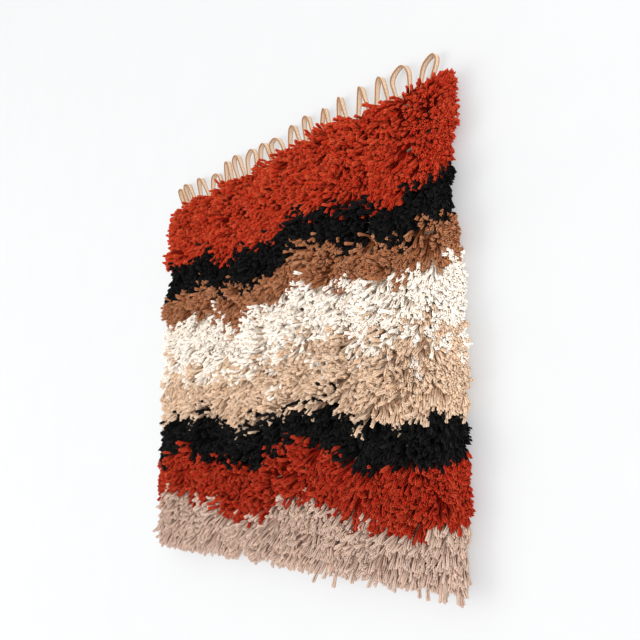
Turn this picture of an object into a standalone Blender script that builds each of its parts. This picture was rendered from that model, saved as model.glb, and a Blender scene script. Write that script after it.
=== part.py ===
"""Latch hook wall hanging: a canvas ground, a shag pile in waved bands and a heading with warp loops.

Frame: metres, +Z up, X across the width. The wall plane is Y = 0, the pile faces -Y, and the origin is
at the middle of the line of loop crowns that the hanging hangs by.
"""
import math
import random

import bmesh
import bpy
from mathutils import Matrix, Vector, noise

COLLECTION_NAME = "latch_hook_wall_hanging"

# Driving dimensions
CANVAS_WIDTH = 0.486
CANVAS_THICK = 0.0020
CANVAS_BOTTOM_Z = -0.479
GAP = 0.0004

HEADING_TOP_Z = -0.0320
HEADING_HEIGHT = 0.0080
LOOP_DEPTH = 0.0060
LOOP_THREAD = 0.0014
LOOP_STEPS = 2
LEG_BOW = 0.45

PILE_DEPTH = 0.0300
PILE_RIM_DEPTH = 0.0180
PILE_EDGE_INSET = 0.0020
PILE_COLUMNS = 41
PILE_ROWS = 37
CROWN_RUN = 0.016
RELIEF = 0.0036
LUMPS_PER_METRE = (34, 88)
LUMP_SHARES = (1.0, 0.6)
CELL_JITTER = 0.0030
TUFT_HEIGHT = 0.0080
TUFT_DROOP = 0.0050
TUFT_JITTER = 0.0035

LOCK_REACH = 0.0155
LOCK_REACH_BOTTOM = 0.0230
LOCK_REACH_TOP = 0.0125
LOCK_SHORTEST = 0.68
LOCK_ROOT = 0.92
LOCK_TIP = 0.34
LOCK_DROOP = 0.0040
LOCK_SWAY = 0.0035
CORNER_SPLAY = 0.0065
CORNER_POWER = 9
SEED = 17

# Heights worked out from the driving dimensions
HEADING_BOTTOM_Z = HEADING_TOP_Z - HEADING_HEIGHT
CANVAS_TOP_Z = HEADING_BOTTOM_Z - GAP
PILE_BACK_Y = -(CANVAS_THICK + GAP)
PILE_TOP_Z = CANVAS_TOP_Z - GAP
PILE_BOTTOM_Z = CANVAS_BOTTOM_Z
PILE_HALF_WIDTH = CANVAS_WIDTH / 2 - PILE_EDGE_INSET
LOCK_ROOM_Y = -(LOOP_DEPTH + 0.0012)

# Warp loops, left to right, in millimetres: the feet on the heading, the widest places of both legs and
# the crown, each with its height above the heading's top
# foot_l, side_l, side_l_up, crown, crown_up, side_r, side_r_up, foot_r
LOOPS_MM = (
    (-238.5, -253.0, 27.0, -249.0, 31.0, -243.0, 28.0, -230.0),
    (-219.5, -238.5, 30.0, -234.0, 33.5, -226.0, 29.5, -206.5),
    (-192.5, -200.8, 28.5, -196.0, 31.5, -189.0, 25.0, -172.5),
    (-163.0, -162.0, 20.5, -152.5, 24.5, -143.5, 17.0, -139.0),
    (-128.0, -130.0, 29.0, -127.0, 34.0, -122.5, 27.5, -114.0),
    (-100.0, -112.0, 29.0, -105.5, 35.5, -98.0, 28.0, -85.5),
    (-77.5, -80.5, 22.5, -69.5, 32.0, -60.8, 22.0, -59.5),
    (-50.0, -51.5, 24.5, -44.3, 31.0, -36.5, 22.0, -27.0),
    (-19.5, -30.0, 23.0, -18.7, 28.5, -6.5, 16.0, 0.5),
    (8.0, 9.5, 27.0, 14.8, 32.5, 19.8, 27.0, 31.0),
    (39.0, 35.2, 30.0, 40.0, 35.0, 46.0, 28.0, 55.0),
    (64.5, 69.5, 23.5, 73.2, 31.5, 76.5, 22.0, 82.0),
    (95.5, 96.5, 28.0, 99.0, 34.5, 102.0, 26.0, 110.5),
    (126.0, 130.0, 27.0, 132.2, 33.0, 135.8, 25.5, 143.5),
    (153.5, 157.2, 26.0, 161.5, 31.5, 166.8, 21.0, 172.0),
    (182.5, 177.0, 21.0, 192.5, 31.0, 201.5, 20.0, 201.0),
    (214.0, 219.0, 18.0, 231.5, 26.5, 236.0, 18.0, 228.0),
)

# Colour bands from the top down: share of the pile's height at each band's lower edge
BANDS = (
    ("rust", 0.195),
    ("black", 0.295),
    ("tan", 0.385),
    ("cream", 0.535),
    ("beige", 0.685),
    ("black", 0.785),
    ("rust", 0.900),
    ("taupe", 1.000),
)
WAVE_HEIGHT = 0.011
WAVE_LENGTH = 0.243
COLOURS = {
    "rust": (0.56, 0.055, 0.020, 1.0),
    "black": (0.010, 0.010, 0.012, 1.0),
    "tan": (0.50, 0.21, 0.075, 1.0),
    "cream": (0.90, 0.83, 0.72, 1.0),
    "beige": (0.68, 0.50, 0.34, 1.0),
    "taupe": (0.58, 0.42, 0.34, 1.0),
    "canvas": (0.60, 0.45, 0.30, 1.0),
    "warp": (0.55, 0.30, 0.14, 1.0),
}


def clear_objects():
    """Remove every object of the open file."""
    for item in list(bpy.data.objects):
        bpy.data.objects.remove(item, do_unlink=True)


def make_material(name):
    """Return a cloth material in the named colour."""
    material = bpy.data.materials.new(name)
    material.use_nodes = True
    shader = material.node_tree.nodes["Principled BSDF"]
    shader.inputs["Base Color"].default_value = COLOURS[name]
    shader.inputs["Roughness"].default_value = 0.9
    shader.inputs["Metallic"].default_value = 0.0
    return material


def add_object(name, shape, colours, collection):
    """Turn a bmesh into a named object with one material for each colour."""
    bmesh.ops.recalc_face_normals(shape, faces=shape.faces)
    mesh = bpy.data.meshes.new(name)
    shape.to_mesh(mesh)
    shape.free()
    for colour in colours:
        mesh.materials.append(bpy.data.materials.get(colour) or make_material(colour))
    item = bpy.data.objects.new(name, mesh)
    collection.objects.link(item)
    return item


def band_at(x, z):
    """Return the colour of the pile at a place on its face."""
    height = PILE_TOP_Z - PILE_BOTTOM_Z
    wave = WAVE_HEIGHT * math.sin(2 * math.pi * x / WAVE_LENGTH)
    share = (PILE_TOP_Z - (z - wave)) / height
    for colour, lower_edge in BANDS:
        if share < lower_edge:
            return colour
    return BANDS[-1][0]


def make_canvas(collection):
    """Make the woven ground that every knot is tied on."""
    height = CANVAS_TOP_Z - CANVAS_BOTTOM_Z
    middle = Vector((0, -CANVAS_THICK / 2, CANVAS_BOTTOM_Z + height / 2))
    size = Matrix.Diagonal((CANVAS_WIDTH, CANVAS_THICK, height, 1))
    shape = bmesh.new()
    bmesh.ops.create_cube(shape, size=1.0, matrix=Matrix.Translation(middle) @ size)
    return add_object("canvas", shape, ["canvas"], collection)


def loop_path(row):
    """Return the smooth centre line of one warp loop, from foot to foot, as (x, z) pairs."""
    foot_l, side_l, side_l_up, crown, crown_up, side_r, side_r_up, foot_r = row
    named = [
        (foot_l, 0.0),
        ((foot_l + side_l) / 2, side_l_up * LEG_BOW),
        (side_l, side_l_up),
        ((side_l + crown) / 2, (crown_up * 2 + side_l_up) / 3),
        (crown, crown_up),
        ((side_r + crown) / 2, (crown_up * 2 + side_r_up) / 3),
        (side_r, side_r_up),
        ((foot_r + side_r) / 2, side_r_up * LEG_BOW),
        (foot_r, 0.0),
    ]
    points = [Vector((x / 1000, HEADING_TOP_Z + up / 1000)) for x, up in named]
    path = []
    for i in range(len(points) - 1):
        before = points[max(i - 1, 0)]
        after = points[min(i + 2, len(points) - 1)]
        leave = (points[i + 1] - before) / 2
        arrive = (after - points[i]) / 2
        for step in range(LOOP_STEPS):
            t = step / LOOP_STEPS
            path.append(
                points[i] * (2 * t ** 3 - 3 * t ** 2 + 1)
                + leave * (t ** 3 - 2 * t ** 2 + t)
                + points[i + 1] * (3 * t ** 2 - 2 * t ** 3)
                + arrive * (t ** 3 - t ** 2)
            )
    path.append(points[-1])
    return path


def band_edges(path):
    """Return the outer and inner edge points of a loop's thread along its centre line."""
    outer = []
    inner = []
    for i, place in enumerate(path):
        run = path[min(i + 1, len(path) - 1)] - path[max(i - 1, 0)]
        side = Vector((-run.y, run.x)).normalized() * LOOP_THREAD / 2
        if i in (0, len(path) - 1):
            side = Vector((-LOOP_THREAD / 2 if i == 0 else LOOP_THREAD / 2, 0))
        outer.append(place + side)
        inner.append(place - side)
    return outer, inner


def make_loops(collection):
    """Make the heading strip with its row of warp loops, as one flat section given its depth."""
    shape = bmesh.new()

    def point(x, z):
        return shape.verts.new((x, 0.0, z))

    half = CANVAS_WIDTH / 2
    top_row = [point(-half, HEADING_TOP_Z)]
    for row in LOOPS_MM:
        outer, inner = band_edges(loop_path(row))
        outer_verts = [point(p.x, p.y) for p in outer]
        inner_verts = [point(p.x, p.y) for p in inner]
        for i in range(len(outer_verts) - 1):
            corners = (outer_verts[i], outer_verts[i + 1], inner_verts[i + 1], inner_verts[i])
            shape.faces.new(corners)
        top_row += [outer_verts[0], inner_verts[0], inner_verts[-1], outer_verts[-1]]
    top_row.append(point(half, HEADING_TOP_Z))
    bottom_row = [point(v.co.x, HEADING_BOTTOM_Z) for v in top_row]
    for i in range(len(top_row) - 1):
        shape.faces.new((top_row[i], top_row[i + 1], bottom_row[i + 1], bottom_row[i]))
    grown = bmesh.ops.extrude_face_region(shape, geom=list(shape.faces))
    front = [v for v in grown["geom"] if isinstance(v, bmesh.types.BMVert)]
    bmesh.ops.translate(shape, verts=front, vec=(0, -LOOP_DEPTH, 0))
    return add_object("hanging_loops", shape, ["warp"], collection)


def relief_at(x, z):
    """Return how far the pile's face stands out from the rim's depth at a place."""
    from_side = PILE_HALF_WIDTH - abs(x)
    from_end = min(PILE_TOP_Z - z, z - PILE_BOTTOM_Z)
    inward = min(from_side, from_end)
    crown = 1 - math.exp(-max(inward, 0) / CROWN_RUN)
    lumps = sum(
        share * noise.noise(Vector((x, layer, z)) * scale)
        for layer, (scale, share) in enumerate(zip(LUMPS_PER_METRE, LUMP_SHARES))
    )
    rise = PILE_DEPTH - PILE_RIM_DEPTH - TUFT_HEIGHT - RELIEF / 2
    return rise * crown + RELIEF * lumps


def make_face(shape, rng):
    """Make the pile's lumpy face of drooping tufts, and return its rim edges."""
    width = 2 * PILE_HALF_WIDTH
    height = PILE_TOP_Z - PILE_BOTTOM_Z
    middle = Vector((0, -PILE_RIM_DEPTH, (PILE_TOP_Z + PILE_BOTTOM_Z) / 2))
    size = Matrix.Diagonal((width, height, 1, 1))
    place = Matrix.Translation(middle) @ Matrix.Rotation(math.pi / 2, 4, "X") @ size
    bmesh.ops.create_grid(
        shape, x_segments=PILE_COLUMNS, y_segments=PILE_ROWS, size=0.5, matrix=place
    )
    rim = [e for e in shape.edges if e.is_boundary]
    rim_verts = {v for e in rim for v in e.verts}
    for vert in shape.verts:
        if vert in rim_verts:
            continue
        vert.co.y -= relief_at(vert.co.x, vert.co.z)
        vert.co.x += rng.uniform(-CELL_JITTER, CELL_JITTER)
        vert.co.z += rng.uniform(-CELL_JITTER, CELL_JITTER)
    cells = sorted(shape.faces, key=lambda f: (f.calc_center_median().z, f.calc_center_median().x))
    tufts = bmesh.ops.poke(shape, faces=cells)["verts"]
    for vert in tufts:
        vert.co.y -= TUFT_HEIGHT * rng.uniform(0.3, 1.0)
        vert.co.z -= TUFT_DROOP * rng.uniform(0.2, 1.2)
        vert.co.x += rng.uniform(-TUFT_JITTER, TUFT_JITTER)
    return rim


def lock_move(centre, rng):
    """Return the way from a lock's root to its tip, for the root's place on the rim."""
    length = rng.uniform(LOCK_SHORTEST, 1.0)
    sway = rng.uniform(-LOCK_SWAY, LOCK_SWAY)
    forward = rng.uniform(-LOCK_SWAY, 0)
    splay = CORNER_SPLAY * (centre.x / PILE_HALF_WIDTH) ** CORNER_POWER
    if abs(centre.z - PILE_TOP_Z) < GAP:
        return Vector((sway / 2 + splay, forward, LOCK_REACH_TOP * length))
    if abs(centre.z - PILE_BOTTOM_Z) < GAP:
        return Vector((sway + splay, forward, -LOCK_REACH_BOTTOM * length))
    middle_z = (PILE_TOP_Z + PILE_BOTTOM_Z) / 2
    lift = CORNER_SPLAY * ((centre.z - middle_z) / (PILE_TOP_Z - middle_z)) ** CORNER_POWER
    out = math.copysign(LOCK_REACH * length, centre.x)
    return Vector((out, forward + LOCK_SWAY / 2, lift + sway / 2 - LOCK_DROOP * length))


def raise_locks(shape, walls, rng):
    """Draw one four-sided lock out of each wall face round the rim."""
    walls = sorted(walls, key=lambda f: tuple(round(c, 5) for c in f.calc_center_median()))
    for wall in walls:
        centre = wall.calc_center_median()
        at_top = abs(centre.z - PILE_TOP_Z) < GAP
        if at_top:
            wall = bmesh.ops.extrude_discrete_faces(shape, faces=[wall])["faces"][0]
            for vert in wall.verts:
                vert.co.x = centre.x + (vert.co.x - centre.x) * LOCK_ROOT
                vert.co.y = min(vert.co.y, LOCK_ROOM_Y)
                vert.co.z += GAP
            centre = wall.calc_center_median()
            centre.z = PILE_TOP_Z
        tip = bmesh.ops.extrude_discrete_faces(shape, faces=[wall])["faces"][0]
        move = lock_move(centre, rng)
        for vert in tip.verts:
            vert.co = centre + (vert.co - centre) * LOCK_TIP + move
            vert.co.y = min(vert.co.y, PILE_BACK_Y)


def make_pile(collection):
    """Make the shag pile: a lumpy slab with locks all round its rim."""
    rng = random.Random(SEED)
    shape = bmesh.new()
    rim = make_face(shape, rng)
    grown = bmesh.ops.extrude_edge_only(shape, edges=rim)["geom"]
    walls = [f for f in grown if isinstance(f, bmesh.types.BMFace)]
    for vert in grown:
        if isinstance(vert, bmesh.types.BMVert):
            vert.co.y = PILE_BACK_Y
    back = [e for e in shape.edges if e.is_boundary]
    bmesh.ops.edgeloop_fill(shape, edges=back)
    bmesh.ops.recalc_face_normals(shape, faces=shape.faces)
    raise_locks(shape, walls, rng)
    colours = list(dict.fromkeys(colour for colour, _ in BANDS))
    for face in shape.faces:
        centre = face.calc_center_median()
        face.material_index = colours.index(band_at(centre.x, centre.z))
    return add_object("pile", shape, colours, collection)


def main():
    """Build the hanging in a collection of its own."""
    clear_objects()
    collection = bpy.data.collections.new(COLLECTION_NAME)
    bpy.context.scene.collection.children.link(collection)
    make_canvas(collection)
    make_loops(collection)
    make_pile(collection)


main()
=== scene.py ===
"""Looks of the latch hook wall hanging: cut yarn ends, knots, ground cloth, heading and warp loops."""

import logging
import math
from collections.abc import Callable
from dataclasses import dataclass, field
from enum import Enum
from typing import ClassVar

import bmesh
import bpy
import numpy as np
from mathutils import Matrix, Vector, noise


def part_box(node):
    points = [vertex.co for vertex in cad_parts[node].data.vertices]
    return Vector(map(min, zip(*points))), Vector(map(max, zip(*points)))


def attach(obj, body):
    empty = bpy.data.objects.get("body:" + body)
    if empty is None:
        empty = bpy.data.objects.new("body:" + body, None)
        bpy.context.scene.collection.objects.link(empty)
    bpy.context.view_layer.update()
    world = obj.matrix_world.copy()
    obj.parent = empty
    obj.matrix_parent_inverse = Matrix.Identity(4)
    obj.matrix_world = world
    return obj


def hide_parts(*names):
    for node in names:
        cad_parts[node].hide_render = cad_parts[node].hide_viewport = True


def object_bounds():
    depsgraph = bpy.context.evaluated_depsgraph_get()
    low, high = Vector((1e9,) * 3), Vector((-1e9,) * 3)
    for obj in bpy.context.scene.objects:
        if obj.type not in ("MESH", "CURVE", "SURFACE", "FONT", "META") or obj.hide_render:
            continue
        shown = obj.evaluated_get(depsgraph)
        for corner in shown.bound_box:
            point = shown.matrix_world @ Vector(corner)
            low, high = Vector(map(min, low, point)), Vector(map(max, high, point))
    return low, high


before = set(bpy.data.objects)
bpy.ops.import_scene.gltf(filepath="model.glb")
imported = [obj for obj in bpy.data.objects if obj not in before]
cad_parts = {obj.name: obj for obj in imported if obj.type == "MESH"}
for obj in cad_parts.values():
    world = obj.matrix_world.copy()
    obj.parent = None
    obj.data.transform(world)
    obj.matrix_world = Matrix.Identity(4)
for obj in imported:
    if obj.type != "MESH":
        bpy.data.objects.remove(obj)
CAD_LOW, CAD_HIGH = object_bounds()
CLOTH_LOW, CLOTH_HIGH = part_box("canvas")
LOOPS_LOW, LOOPS_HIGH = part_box("hanging_loops")
LEFT, RIGHT = CLOTH_LOW.x, CLOTH_HIGH.x
BOTTOM, TOP = CLOTH_LOW.z, CLOTH_HIGH.z

LOG = logging.getLogger("wall_hanging")
MM = 0.001
FULL_TURN = 2 * math.pi
SPIN = 6.3  # largest random turn of a knot or an end: a full turn
SEED = 4172


class Yarn(Enum):
    """The dyed yarns of the pile. Both rusts name one material slot."""

    RUST = "rust"
    # The rust yarn drawn darker for the lower rust band.
    RUST_DEEP = "rust_deep"
    BLACK = "black"
    TAN = "tan"
    CREAM = "cream"
    BEIGE = "beige"
    TAUPE = "taupe"

    @property
    def slot(self) -> str:
        """Name the material slot that the yarn fills."""
        return self.value.removesuffix("_deep")


@dataclass(frozen=True)
class Band:
    """One waved colour band of the pile.

    Args:
        piece: name of the band's piece.
        yarn: the yarn that it is knotted in.
        lower_edge: share of the pile's height at the band's lower edge.
        blend: how far single knots stray over that edge, in metres.
    """

    piece: str
    yarn: Yarn
    lower_edge: float
    blend: float


BANDS = (
    Band("pile_rust_upper", Yarn.RUST, 0.192, 0.003),
    Band("pile_black_upper", Yarn.BLACK, 0.295, 0.003),
    Band("pile_tan", Yarn.TAN, 0.385, 0.006),
    Band("pile_cream", Yarn.CREAM, 0.535, 0.022),
    Band("pile_beige", Yarn.BEIGE, 0.685, 0.004),
    Band("pile_black_lower", Yarn.BLACK, 0.785, 0.003),
    Band("pile_rust_lower", Yarn.RUST_DEEP, 0.900, 0.003),
    Band("pile_taupe", Yarn.TAUPE, 1.000, 0.0),
)


@dataclass(frozen=True)
class YarnFinish:
    """Colours of one dyed yarn, as linear values.

    Args:
        deep: painted shade between the strands near the knot and in the grooves between the plies, darker
            on the dark yarns and lighter and warmer on the pale ones, where it is painted bounce light;
            single strands also turn towards it.
        body: the yarn's main colour.
        pale: colour of its lightest strands.
        sheen: weight of the soft light on its fibres.
        glow: weight of the light that passes through its fibres.
    """

    deep: tuple[float, float, float]
    body: tuple[float, float, float]
    pale: tuple[float, float, float]
    sheen: float = 0.15
    glow: float = 0.0


YARN_FINISHES = {
    Yarn.RUST: YarnFinish((0.34, 0.005, 0.001), (0.365, 0.022, 0.006), (0.43, 0.056, 0.022), 0.12, 0.3),
    Yarn.RUST_DEEP: YarnFinish(
        (0.28, 0.0038, 0.0008), (0.285, 0.015, 0.0042), (0.35, 0.041, 0.0165), 0.12, 0.3
    ),
    Yarn.BLACK: YarnFinish(
        (0.0008, 0.0008, 0.0008), (0.0017, 0.0015, 0.0015), (0.013, 0.012, 0.012), 0.04
    ),
    Yarn.TAN: YarnFinish((0.34, 0.098, 0.027), (0.30, 0.116, 0.052), (0.37, 0.195, 0.11)),
    Yarn.CREAM: YarnFinish((0.99, 0.84, 0.67), (0.79, 0.73, 0.67), (0.79, 0.745, 0.685)),
    Yarn.BEIGE: YarnFinish((0.78, 0.51, 0.33), (0.56, 0.405, 0.285), (0.61, 0.48, 0.365)),
    Yarn.TAUPE: YarnFinish((0.58, 0.37, 0.28), (0.46, 0.33, 0.262), (0.52, 0.41, 0.34)),
}


class Nodes:
    """Short calls for wiring shader nodes in one tree."""

    def __init__(self, tree: bpy.types.NodeTree) -> None:
        """Keep the tree that the nodes go in."""
        self.tree = tree

    def feed(self, node: bpy.types.Node, inputs: dict[str | int, object]) -> None:
        """Give a node's inputs their values.

        Args:
            node: the node.
            inputs: numbers, colours, vectors or sockets, by the inputs' names or numbers.
        """
        for name, value in inputs.items():
            socket = node.inputs[name]
            if isinstance(value, bpy.types.NodeSocket):
                self.tree.links.new(value, socket)
            else:
                socket.default_value = (*value, 1.0) if socket.type == "RGBA" else value

    def add(
        self, kind: str, inputs: dict[str | int, object] | None = None, **settings: object
    ) -> bpy.types.Node:
        """Add a node.

        Args:
            kind: the node's type name.
            inputs: what its inputs are given.
            **settings: attributes to set on it.

        Returns:
            The new node.
        """
        node = self.tree.nodes.new(kind)
        for name, value in settings.items():
            setattr(node, name, value)
        self.feed(node, inputs or {})
        return node

    def math(self, operation: str, *values: object) -> bpy.types.NodeSocket:
        """Add a Math node.

        Args:
            operation: its operation.
            *values: numbers or sockets for its inputs.

        Returns:
            Its output socket.
        """
        return self.add("ShaderNodeMath", dict(enumerate(values)), operation=operation).outputs[0]

    def mix(self, share: object, first: object, second: object) -> bpy.types.NodeSocket:
        """Add a colour mix.

        Args:
            share: number or socket for the factor.
            first: colour or socket at 0.
            second: colour or socket at 1.

        Returns:
            Its colour output.
        """
        inputs = {0: share, 6: first, 7: second}
        return self.add("ShaderNodeMix", inputs, data_type="RGBA", blend_type="MIX").outputs[2]

    def bump(self, height: bpy.types.NodeSocket, strength: float, depth: float) -> bpy.types.NodeSocket:
        """Add a Bump node.

        Args:
            height: the height that it raises.
            strength: how strongly it shows.
            depth: the height's size in metres.

        Returns:
            Its normal.
        """
        inputs = {"Height": height, "Strength": strength, "Distance": depth}
        return self.add("ShaderNodeBump", inputs).outputs["Normal"]

    def shades(self) -> bpy.types.bpy_prop_collection:
        """Return the piece's own shades: the share of an end's length and its two tones."""
        strand = self.add("ShaderNodeAttribute", attribute_name="strand")
        return self.add("ShaderNodeSeparateColor", {0: strand.outputs["Color"]}).outputs


class NodeGroup:
    """A node group, built once. INPUTS and OUTPUTS name its float sockets."""

    NAME = ""
    INPUTS: tuple[str, ...] = ()
    OUTPUTS: tuple[str, ...] = ()

    @classmethod
    def get(cls) -> bpy.types.NodeTree:
        """Find the group, or build it.

        Returns:
            The group.
        """
        tree = bpy.data.node_groups.get(cls.NAME)
        if tree is None:
            tree = bpy.data.node_groups.new(cls.NAME, "ShaderNodeTree")
            for side, names in (("INPUT", cls.INPUTS), ("OUTPUT", cls.OUTPUTS)):
                for name in names:
                    tree.interface.new_socket(name=name, in_out=side, socket_type="NodeSocketFloat")
            wire = Nodes(tree)
            wire.add("NodeGroupOutput", cls.wiring(wire, wire.add("NodeGroupInput").outputs))
        return tree

    @classmethod
    def wiring(cls, wire: Nodes, given: bpy.types.bpy_prop_collection) -> dict[str, bpy.types.NodeSocket]:
        """Wire the group.

        Args:
            wire: the group's tree.
            given: its inputs.

        Returns:
            The sockets for its outputs.
        """
        raise NotImplementedError


class TwistGroup(NodeGroup):
    """The raised plies of a twisted yarn, read from the piece's own UV map.

    U runs once round the yarn and V is the way along it in metres.
    """

    NAME = "yarn_twist"
    INPUTS = ("Plies", "Turns", "Fuzz")
    OUTPUTS = ("Height", "Valley")
    FIBRES = {"Scale": 900.0, "Detail": 3.0}

    @classmethod
    def wiring(cls, wire: Nodes, given: bpy.types.bpy_prop_collection) -> dict[str, bpy.types.NodeSocket]:
        """Wire the group.

        Args:
            wire: the group's tree.
            given: its inputs.

        Returns:
            The sockets for its outputs.
        """
        spot = wire.add("ShaderNodeUVMap", uv_map="yarn").outputs["UV"]
        split = wire.add("ShaderNodeSeparateXYZ", {0: spot}).outputs
        round_share = wire.math("MULTIPLY", split["X"], given["Plies"])
        along = wire.math("MULTIPLY", split["Y"], given["Turns"])
        phase = wire.math("MULTIPLY", wire.math("ADD", round_share, along), FULL_TURN)
        ply = wire.math("MULTIPLY_ADD", wire.math("SINE", phase), 0.5, 0.5)
        place = wire.add("ShaderNodeTexCoord").outputs["Object"]
        fibres = wire.add("ShaderNodeTexNoise", {**cls.FIBRES, "Vector": place})
        fuzz = wire.math("MULTIPLY", fibres.outputs["Fac"], given["Fuzz"])
        # Valley marks the grooves between the plies, where the yarn and warp materials paint shade.
        valley = wire.math("POWER", wire.math("SUBTRACT", 1.0, ply), 2.0)
        return {"Height": wire.math("ADD", ply, fuzz), "Valley": valley}


class WeaveGroup(NodeGroup):
    """A plain weave over the X and Z of the piece, as a height, a mask of the weft and its slubs."""

    NAME = "plain_weave"
    INPUTS = ("Pitch",)
    OUTPUTS = ("Height", "Weft", "Slub")
    WOBBLE_SCALE = 260.0
    SWAY = 0.0012
    WARP_HEIGHT = 0.6
    LIFT = 0.6

    @classmethod
    def wiring(cls, wire: Nodes, given: bpy.types.bpy_prop_collection) -> dict[str, bpy.types.NodeSocket]:
        """Wire the group.

        Args:
            wire: the group's tree.
            given: its inputs.

        Returns:
            The sockets for its outputs.
        """
        place = wire.add("ShaderNodeTexCoord").outputs["Object"]
        wobble = wire.add("ShaderNodeTexNoise", {"Scale": cls.WOBBLE_SCALE, "Vector": place}).outputs["Fac"]
        sway = wire.math("MULTIPLY", wire.math("SUBTRACT", wobble, 0.5), cls.SWAY)
        split = wire.add("ShaderNodeSeparateXYZ", {0: place}).outputs
        turns = wire.math("DIVIDE", math.pi, given["Pitch"])
        across, upward = (
            wire.math("SINE", wire.math("MULTIPLY", wire.math("ADD", split[axis], sway), turns))
            for axis in ("X", "Z")
        )
        over = wire.math("MULTIPLY", across, upward)
        weft = wire.math("GREATER_THAN", over, 0.0)
        ridge_weft = wire.math("MULTIPLY", wire.math("ABSOLUTE", upward), weft)
        ridge_warp = wire.math("MULTIPLY", wire.math("ABSOLUTE", across), cls.WARP_HEIGHT)
        ridge = wire.math("MAXIMUM", ridge_weft, ridge_warp)
        height = wire.math("MULTIPLY_ADD", wire.math("ABSOLUTE", over), cls.LIFT, ridge)
        return {"Height": height, "Weft": weft, "Slub": wobble}


def new_material(
    name: str, roughness: float = 0.92, specular: float = 0.12
) -> tuple[bpy.types.Material, Nodes, bpy.types.Node]:
    """Make an empty material, rough as cloth is.

    Args:
        name: the material's name.
        roughness: its roughness.
        specular: its specular level.

    Returns:
        The material, its wiring helper and its Principled shader.
    """
    material = bpy.data.materials.new(name)
    material.use_nodes = True
    wire = Nodes(material.node_tree)
    shader = material.node_tree.nodes["Principled BSDF"]
    wire.feed(shader, {"Roughness": roughness, "Specular IOR Level": specular})
    return material, wire, shader


@dataclass(frozen=True)
class YarnMaterial:
    """Dyed wool yarn with twisted plies and fuzz, and painted shade (on the pale yarns a lighter, warmer
    painted bounce light) that grows from its tips towards the knot and into the grooves between its plies.

    PALER and DARKER are how far single strands turn to the pale and the deep colour. TIP and ROOT are the
    shares of an end's length between which the painted shade towards the deep colour grows to DEEPER.
    VALLEY is how far the painted shade in the grooves between its plies goes towards it.

    Args:
        yarn: the yarn.
        finish: its colours.
    """

    PALER: ClassVar[float] = 0.6
    DARKER: ClassVar[float] = 0.45
    TIP: ClassVar[float] = 0.85
    ROOT: ClassVar[float] = 0.15
    DEEPER: ClassVar[float] = 0.8
    VALLEY: ClassVar[float] = 0.2

    yarn: Yarn
    finish: YarnFinish

    def build(self) -> bpy.types.Material:
        """Wire the material.

        Returns:
            The finished material.
        """
        material, wire, shader = new_material(f"yarn_{self.yarn.value}")
        along, tone, hue = wire.shades()
        twist = wire.add(
            "ShaderNodeGroup", {"Plies": 3.0, "Turns": 110.0, "Fuzz": 0.5}, node_tree=TwistGroup.get()
        ).outputs
        deep = self.finish.deep
        colour = wire.mix(wire.math("MULTIPLY", tone, self.PALER), self.finish.body, self.finish.pale)
        colour = wire.mix(wire.math("MULTIPLY", wire.math("POWER", hue, 3.0), self.DARKER), colour, deep)
        # Painted shade: the colour turns towards the deep colour from the tip to the root.
        reach = {"From Min": self.TIP, "From Max": self.ROOT, "Value": along}
        depth = wire.add("ShaderNodeMapRange", reach, interpolation_type="SMOOTHSTEP").outputs[0]
        colour = wire.mix(wire.math("MULTIPLY", depth, self.DEEPER), colour, deep)
        # Painted shade in the grooves between the plies.
        colour = wire.mix(wire.math("MULTIPLY", twist["Valley"], self.VALLEY), colour, deep)
        wire.feed(shader, {
            "Base Color": colour,
            "Normal": wire.bump(twist["Height"], 0.45, 0.0006),
            "Sheen Weight": self.finish.sheen,
            "Sheen Roughness": 0.45,
            "Sheen Tint": self.finish.pale,
            "Subsurface Weight": self.finish.glow,
            "Subsurface Radius": (1.0, 0.75, 0.5),
            "Subsurface Scale": 0.004,
        })
        return material


class WarpMaterial:
    """Twisted linen warp thread, with painted shade and light: a loop's front thread brown, the threads
    behind paler.

    CHANGE is how fast a loop's threads turn from FRONT to REAR. The one past LAST turns back towards FRONT
    by BROWNER, as painted shade on the rear edge. VALLEY is painted shade in the grooves between the plies,
    mixed in by DEEPER.
    """

    FRONT = (0.29, 0.130, 0.050)
    REAR = (0.72, 0.57, 0.42)
    VALLEY = (0.40, 0.23, 0.12)
    CHANGE = 6.0
    LAST = 0.9
    BROWNER = 0.6
    DEEPER = 0.6

    def build(self) -> bpy.types.Material:
        """Wire the material.

        Returns:
            The finished material.
        """
        material, wire, shader = new_material("linen_warp", roughness=0.75)
        _, tone, _ = wire.shades()
        twist = wire.add(
            "ShaderNodeGroup", {"Plies": 2.0, "Turns": 300.0, "Fuzz": 0.3}, node_tree=TwistGroup.get()
        ).outputs
        # Painted shade and light: the front thread brown, the threads behind paler.
        share = wire.math("MULTIPLY", tone, self.CHANGE)
        share.node.use_clamp = True
        colour = wire.mix(share, self.FRONT, self.REAR)
        # Painted shade: the rearmost thread turns back to brown.
        last = wire.math("GREATER_THAN", tone, self.LAST)
        colour = wire.mix(wire.math("MULTIPLY", last, self.BROWNER), colour, self.FRONT)
        # Painted shade in the grooves between the plies.
        colour = wire.mix(wire.math("MULTIPLY", twist["Valley"], self.DEEPER), colour, self.VALLEY)
        normal = wire.bump(twist["Height"], 0.9, 0.0003)
        wire.feed(shader, {"Base Color": colour, "Normal": normal, "Sheen Weight": 0.15})
        return material


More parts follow.
